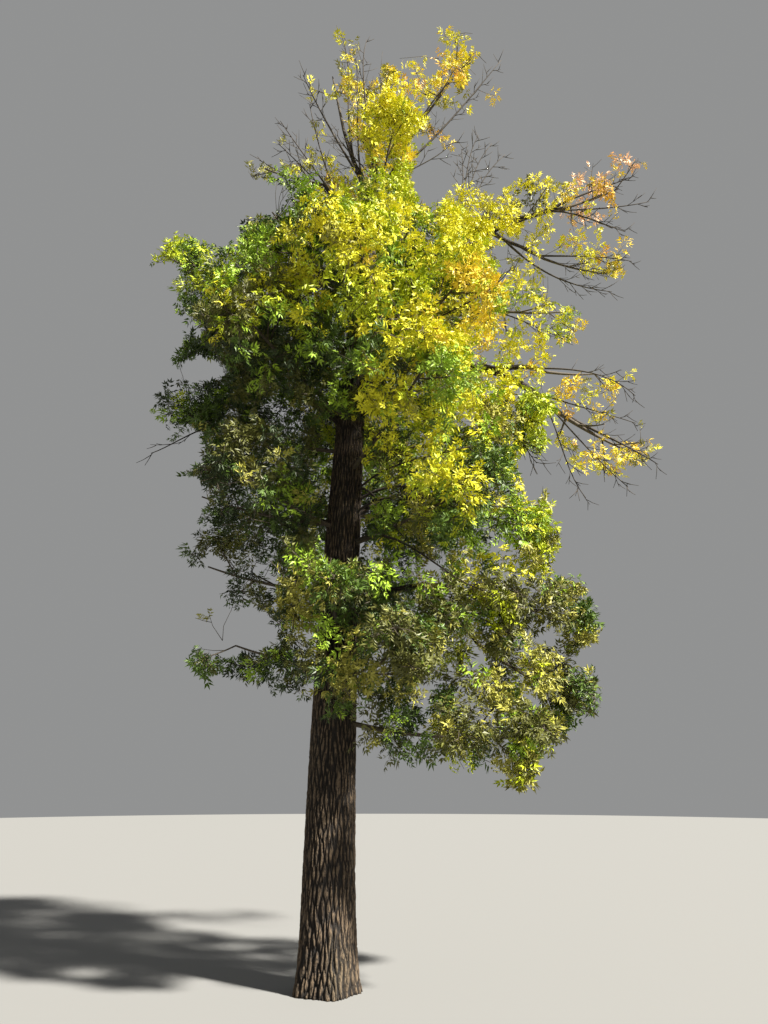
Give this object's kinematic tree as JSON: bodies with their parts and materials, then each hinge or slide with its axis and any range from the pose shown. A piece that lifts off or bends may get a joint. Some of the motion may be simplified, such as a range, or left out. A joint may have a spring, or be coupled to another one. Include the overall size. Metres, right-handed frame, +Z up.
{
  "type": "ash tree",
  "caption": "Broadleaved tree with one furrowed trunk, boughs that mostly reach to one side, and an open crown of turning autumn leaves.",
  "frame": {"origin": "middle of the trunk's flat cut at ground level", "axes": "+Z up the trunk, +X to the right of the usual view, where the longer boughs reach, +Y away from the viewer"},
  "size_m": [6.7563, 4.4438, 12.2867],
  "materials": {
    "bark": "rough grey-brown bark, deep interlacing furrows",
    "leaf_deep": "dark green, matt with a faint sheen",
    "leaf_green": "mid green, matt with a faint sheen",
    "leaf_olive": "dull olive green, matt",
    "leaf_lime": "yellow green, matt",
    "leaf_yellow": "greenish yellow, matt",
    "leaf_gold": "golden yellow, matt",
    "leaf_blush": "pinkish orange, matt"
  },
  "bodies": {
    "root": {"trunk": "bark", "bough_leader_left": "bark", "bough_leader_right": "bark", "bough_left_top": "bark", "bough_left_upper": "bark", "bough_far_left": "bark", "bough_left_mid": "bark", "bough_broken": "bark", "bough_right_upper": "bark", "bough_right_side": "bark", "bough_right_fork": "bark", "bough_right_second": "bark", "bough_right_great": "bark", "bough_great_fork": "bark", "bough_right_bulge": "bark", "bough_right_low": "bark", "bough_right_drop": "bark", "foliage_top_left": "leaf_gold", "foliage_top_mid": "leaf_gold", "foliage_top_right": "leaf_gold", "foliage_neck_front": "leaf_yellow", "foliage_neck_back": "leaf_yellow", "foliage_left_top": "leaf_gold", "foliage_crown_left": "leaf_green", "foliage_left_upper": "leaf_deep", "foliage_far_left": "leaf_green", "foliage_left_mid": "leaf_olive", "foliage_left_dark": "leaf_deep", "foliage_left_inner": "leaf_olive", "foliage_left_low": "leaf_deep", "foliage_left_foot": "leaf_olive", "foliage_crown_right": "leaf_lime", "foliage_front_high": "leaf_lime", "foliage_front_left": "leaf_olive", "foliage_front_right": "leaf_yellow", "foliage_front_mid": "leaf_lime", "foliage_left_front": "leaf_olive", "foliage_mid_front": "leaf_olive", "foliage_low_front": "leaf_olive", "foliage_right_shoulder": "leaf_yellow", "foliage_right_under": "leaf_lime", "foliage_right_mid": "leaf_lime", "foliage_right_bulge": "leaf_lime", "foliage_right_low": "leaf_lime", "foliage_low_inner": "leaf_olive", "foliage_low_drop": "leaf_olive", "foliage_low_drape": "leaf_olive", "foliage_right_behind": "leaf_green", "foliage_upper_over": "leaf_yellow", "foliage_upper_tip": "leaf_blush", "foliage_fork_tip": "leaf_gold", "foliage_second_tip": "leaf_yellow", "foliage_great_fork": "leaf_gold", "foliage_great_tip": "leaf_gold", "foliage_back_top": "leaf_lime", "foliage_back_left": "leaf_green", "foliage_back_right": "leaf_yellow", "foliage_back_mid": "leaf_lime", "foliage_back_low_left": "leaf_green", "foliage_back_low": "leaf_olive"}
  },
  "joints": []
}
